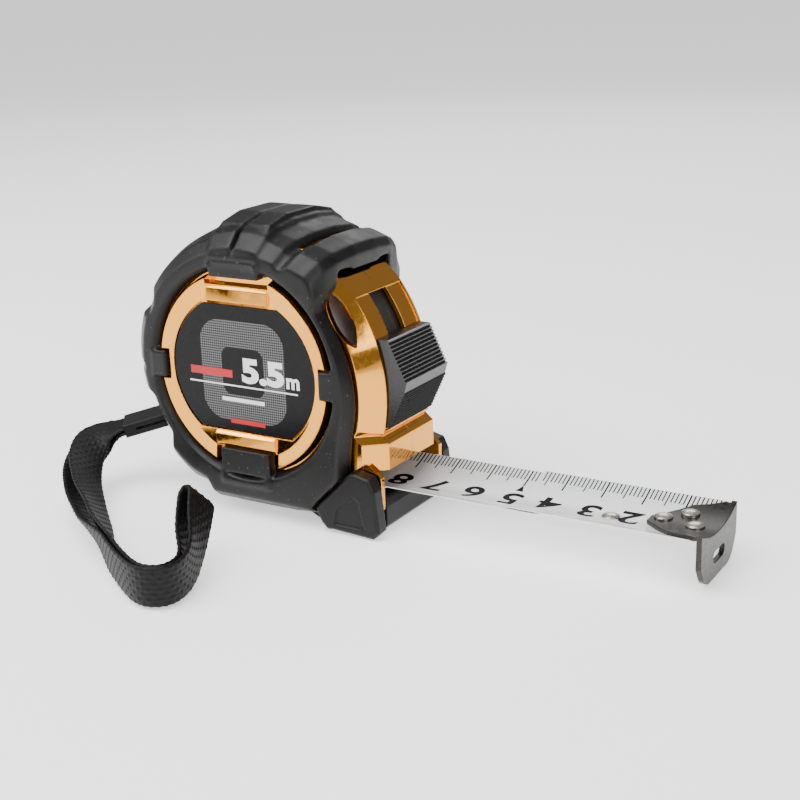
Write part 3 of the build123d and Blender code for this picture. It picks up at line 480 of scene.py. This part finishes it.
# Thumb lock: a ribbed dark button on a curved band that closes the slot behind it.
button_plastic, tree, surface = shader("button_plastic", Roughness=0.24, Specular_IOR_Level=0.6)
wear = place_noise(tree, 1400, 3)
tint(tree, surface, wear, (0.004, 0.004, 0.004), (0.009, 0.009, 0.009))
bumped(tree, surface, wear, 0.00004, 0.4, round_edges=0.00006)
band_plastic, tree, surface = shader("band_plastic", Roughness=0.4)
satin = place_noise(tree, 800, 2)
tint(tree, surface, satin, (0.018, 0.020, 0.020), (0.035, 0.038, 0.038))
bumped(tree, surface, satin, 0.00003, 0.4)
for name, finish in (
    ("lock_button", button_plastic),
    ("lock_band", band_plastic),
    ("brake_pad", band_plastic),
):
    node[name].data.materials.clear()
    node[name].data.materials.append(finish)


# Reel: a pale plastic hub and flanges with the wound blade and its spring.
reel_plastic, tree, surface = shader("reel_plastic", Roughness=0.5)
milky = place_noise(tree, 500, 2)
tint(tree, surface, milky, (0.62, 0.61, 0.56), (0.72, 0.71, 0.66))
bumped(tree, surface, milky, 0.00003, 0.4, round_edges=0.0003)
for name in ("reel_hub", "reel_flange_right", "reel_flange_left"):
    node[name].data.materials.clear()
    node[name].data.materials.append(reel_plastic)
spring_steel, tree, surface = shader("spring_steel", Metallic=1.0, Roughness=0.32)
blued = place_noise(tree, 900, 2)
tint(tree, surface, blued, (0.22, 0.24, 0.28), (0.36, 0.37, 0.40))
node["mainspring"].data.materials.clear()
node["mainspring"].data.materials.append(spring_steel)


# Blade: spring steel with glossy white enamel, sagging between its edges, printed
# with black millimetre marks along one edge and centimetre figures down the middle.
enamel, tree, surface = shader("white_enamel", Roughness=0.24, Coat_Weight=0.25, Coat_Roughness=0.12)
tone = place_noise(tree, 300, 3)
tint(tree, surface, tone, (0.78, 0.79, 0.79), (0.84, 0.85, 0.85))
bumped(tree, surface, place_noise(tree, 1800, 2), 0.000006, 0.4)
for name in ("blade_front", "blade_rear", "blade_lead", "tape_coil"):
    node[name].data.materials.clear()
    node[name].data.materials.append(enamel)
blade_zero = 0.1129
trough_edge = 0.0126
trough_depth = 0.0029
blade_half = 0.0125
print_lift = 0.000018


def trough_height(y, drop):
    """The blade's top at a distance from its middle line, on its circular sag."""
    radius = (blade_half**2 + trough_depth**2) / (2 * trough_depth)
    return trough_edge - drop - trough_depth + radius - math.sqrt(radius**2 - y**2) + print_lift


def strip_on_blade(mesh, x, half_width, y_low, y_high, drop, lean=0.0):
    """A thin inked mark across the blade, following its sag."""
    rows = max(2, int((y_high - y_low) / 0.0006) + 1)
    previous = None
    for row in range(rows + 1):
        y = y_low + (y_high - y_low) * row / rows
        z = trough_height(y, drop)
        wide = half_width * (1 + lean * (1 - row / rows))
        pair = (mesh.verts.new((x - wide, y, z)), mesh.verts.new((x + wide, y, z)))
        if previous:
            mesh.faces.new((previous[0], previous[1], pair[1], pair[0]))
        previous = pair


ink, tree, surface = shader("black_ink", Roughness=0.55, Specular_IOR_Level=0.08)
density = place_noise(tree, 4000, 1)
tint(tree, surface, density, (0.002, 0.002, 0.002), (0.006, 0.006, 0.006))
red_ink, tree, surface = shader("red_ink", Roughness=0.35)
density = place_noise(tree, 4000, 1)
tint(tree, surface, density, (0.45, 0.01, 0.03), (0.58, 0.03, 0.06))


def graduations(name, first, last, drop):
    """Millimetre, half-centimetre and centimetre marks between two readings."""
    marks = bmesh.new()
    edge = blade_half - 0.0001
    for reading in range(first, last + 1):
        length = 0.0056 if reading % 10 == 0 else 0.0046 if reading % 5 == 0 else 0.0032
        half = 0.00020 if reading % 10 == 0 else 0.00016
        x = blade_zero - reading * 0.001
        strip_on_blade(marks, x, half, edge - length, edge, drop)
        if reading == 50:
            strip_on_blade(marks, x, 0.0001, 0.0044, edge - length, drop, lean=9.0)
    data = bpy.data.meshes.new(name)
    marks.to_mesh(data)
    marks.free()
    data.materials.append(ink)
    piece = bpy.data.objects.new(name, data)
    bpy.context.scene.collection.objects.link(piece)
    return piece


figure_height = 0.0098
figure_widening = 1.12
figure_row = 0.0009


def figure(text, reading, drop):
    """A centimetre figure, read from the blade's marked edge, laid on the sag."""
    words = bpy.data.curves.new("figure_" + text, "FONT")
    words.body = text
    words.size = figure_height
    words.align_x = "CENTER"
    words.align_y = "CENTER"
    words.offset = 0.00022
    words.resolution_u = 6
    holder = bpy.data.objects.new("figure_holder", words)
    bpy.context.scene.collection.objects.link(holder)
    data = bpy.data.meshes.new_from_object(holder)
    bpy.data.objects.remove(holder)
    shape = bmesh.new()
    shape.from_mesh(data)
    for limit in range(-4, 5):
        geometry = shape.verts[:] + shape.edges[:] + shape.faces[:]
        bmesh.ops.bisect_plane(shape, geom=geometry, plane_co=(0, limit * figure_row, 0), plane_no=(0, 1, 0))
    for vert in shape.verts:
        x = blade_zero - reading * 0.001 - vert.co.x * figure_widening
        y = -vert.co.y
        vert.co = (x, y, trough_height(y, drop))
    shape.to_mesh(data)
    shape.free()
    data.materials.clear()
    data.materials.append(ink)
    piece = bpy.data.objects.new("figure_" + text, data)
    bpy.context.scene.collection.objects.link(piece)
    return piece


def red_dashes(name, x_first, x_last, y, drop):
    """A broken red line of print along the blade."""
    marks = bmesh.new()
    x = x_first
    while x > x_last:
        strip_on_blade(marks, x, 0.0006, y - 0.00015, y + 0.00015, drop)
        x -= 0.0016
    data = bpy.data.meshes.new(name)
    marks.to_mesh(data)
    marks.free()
    data.materials.append(red_ink)
    piece = bpy.data.objects.new(name, data)
    bpy.context.scene.collection.objects.link(piece)
    return piece


leaf_pitch = 0.0005
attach(red_dashes("front_red_line", 0.084, 0.0735, -0.0052, 0.0), "tape")
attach(red_dashes("rear_red_line", 0.062, 0.030, -0.0075, leaf_pitch), "tape_rear")
for name, body, first, last, figures, drop in (
    ("front_marks", "tape", 2, 46, (2, 3, 4), 0.0),
    ("rear_marks", "tape_rear", 47, 87, (5, 6, 7, 8), leaf_pitch),
):
    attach(graduations(name, first, last, drop), body)
    for number in figures:
        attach(figure(str(number), number * 10, drop), body)


# End hook and rivets: a black-nickel steel hook on three nickel rivets, and one more
# rivet further back in the blade.
hook_finish, tree, surface = shader("black_nickel", Metallic=0.85)
brushing = place_noise(tree, 1200, 4)
tint(tree, surface, brushing, (0.03, 0.028, 0.026), (0.06, 0.056, 0.052))
tree.links.new(between(tree, brushing, 0.3, 0.7, 0.26, 0.4), surface.inputs["Roughness"])
bumped(tree, surface, brushing, 0.00002, 0.4, round_edges=0.0004)
node["hook"].data.materials.clear()
node["hook"].data.materials.append(hook_finish)
rivet_nickel, tree, surface = shader("rivet_nickel", Metallic=1.0)
turning = place_noise(tree, 1800, 2)
tint(tree, surface, turning, (0.60, 0.57, 0.50), (0.74, 0.71, 0.64))
tree.links.new(between(tree, turning, 0.3, 0.7, 0.22, 0.34), surface.inputs["Roughness"])
for name in ("hook_rivets", "blade_rivet"):
    node[name].data.materials.clear()
    node[name].data.materials.append(rivet_nickel)


# The bench and its light: a pale bench top, a broad soft light from above and the
# front, three weaker ones round about, and three dark cards for the plating to mirror.
sweep = bpy.data.meshes.new("bench")
reach = 20.0
bench_corners = [(-reach, -reach, 0), (reach, -reach, 0), (reach, reach, 0), (-reach, reach, 0)]
sweep.from_pydata(bench_corners, [], [(0, 1, 2, 3)])
bench = bpy.data.objects.new("bench", sweep)
bpy.context.scene.collection.objects.link(bench)
white, tree, surface = shader("bench_white", Roughness=0.6, Specular_IOR_Level=0.1, Emission_Strength=0.85)
surface.inputs["Emission Color"].default_value = (1, 1, 1, 1)
tint(tree, surface, place_noise(tree, 3), (0.90, 0.90, 0.90), (0.92, 0.92, 0.92))
sweep.materials.append(white)


def lamp(name, place, aim, size, watts):
    """A square soft light at a place, turned towards a point."""
    light = bpy.data.lights.new(name, "AREA")
    light.size = size
    light.energy = watts
    holder = bpy.data.objects.new(name, light)
    holder.location = place
    holder.rotation_euler = (Vector(aim) - Vector(place)).to_track_quat("-Z", "Y").to_euler()
    bpy.context.scene.collection.objects.link(holder)


lamp("overhead", (-0.12, -0.30, 0.70), (0, 0, 0.02), 0.75, 11.0)
lamp("window", (0.75, -0.50, 0.40), (0.02, 0, 0.03), 0.45, 3.0)
lamp("left_window", (-0.80, -0.35, 0.45), (0, 0, 0.03), 0.55, 3.0)
lamp("back_window", (-0.20, 0.80, 0.60), (0, 0, 0.03), 0.5, 2.0)


def dark_card(name, place, aim, wide, tall):
    """A black card standing out of view for the plating to mirror."""
    data = bpy.data.meshes.new(name)
    x, y = wide / 2, tall / 2
    corners = [(-x, -y, 0), (x, -y, 0), (x, y, 0), (-x, y, 0)]
    data.from_pydata(corners, [], [(0, 1, 2, 3)])
    card = bpy.data.objects.new(name, data)
    card.location = place
    card.rotation_euler = (Vector(aim) - Vector(place)).to_track_quat("-Z", "Y").to_euler()
    bpy.context.scene.collection.objects.link(card)
    data.materials.append(card_black)


card_black, tree, surface = shader("card_black", Roughness=0.9, Specular_IOR_Level=0.1)
tint(tree, surface, place_noise(tree, 5), (0.01, 0.01, 0.01), (0.014, 0.014, 0.014))
dark_card("card_front", (0.10, -0.95, 0.32), (0, 0, 0.03), 1.1, 0.30)
dark_card("card_right", (0.95, -0.05, 0.25), (0, 0, 0.03), 0.5, 0.35)
dark_card("card_low", (-0.42, -0.85, 0.13), (0, 0, 0.03), 0.45, 0.24)
world = bpy.data.worlds.new("studio")
world.use_nodes = True
world.node_tree.nodes["Background"].inputs["Color"].default_value = (1, 1, 1, 1)
world.node_tree.nodes["Background"].inputs["Strength"].default_value = 0.28
bpy.context.scene.world = world
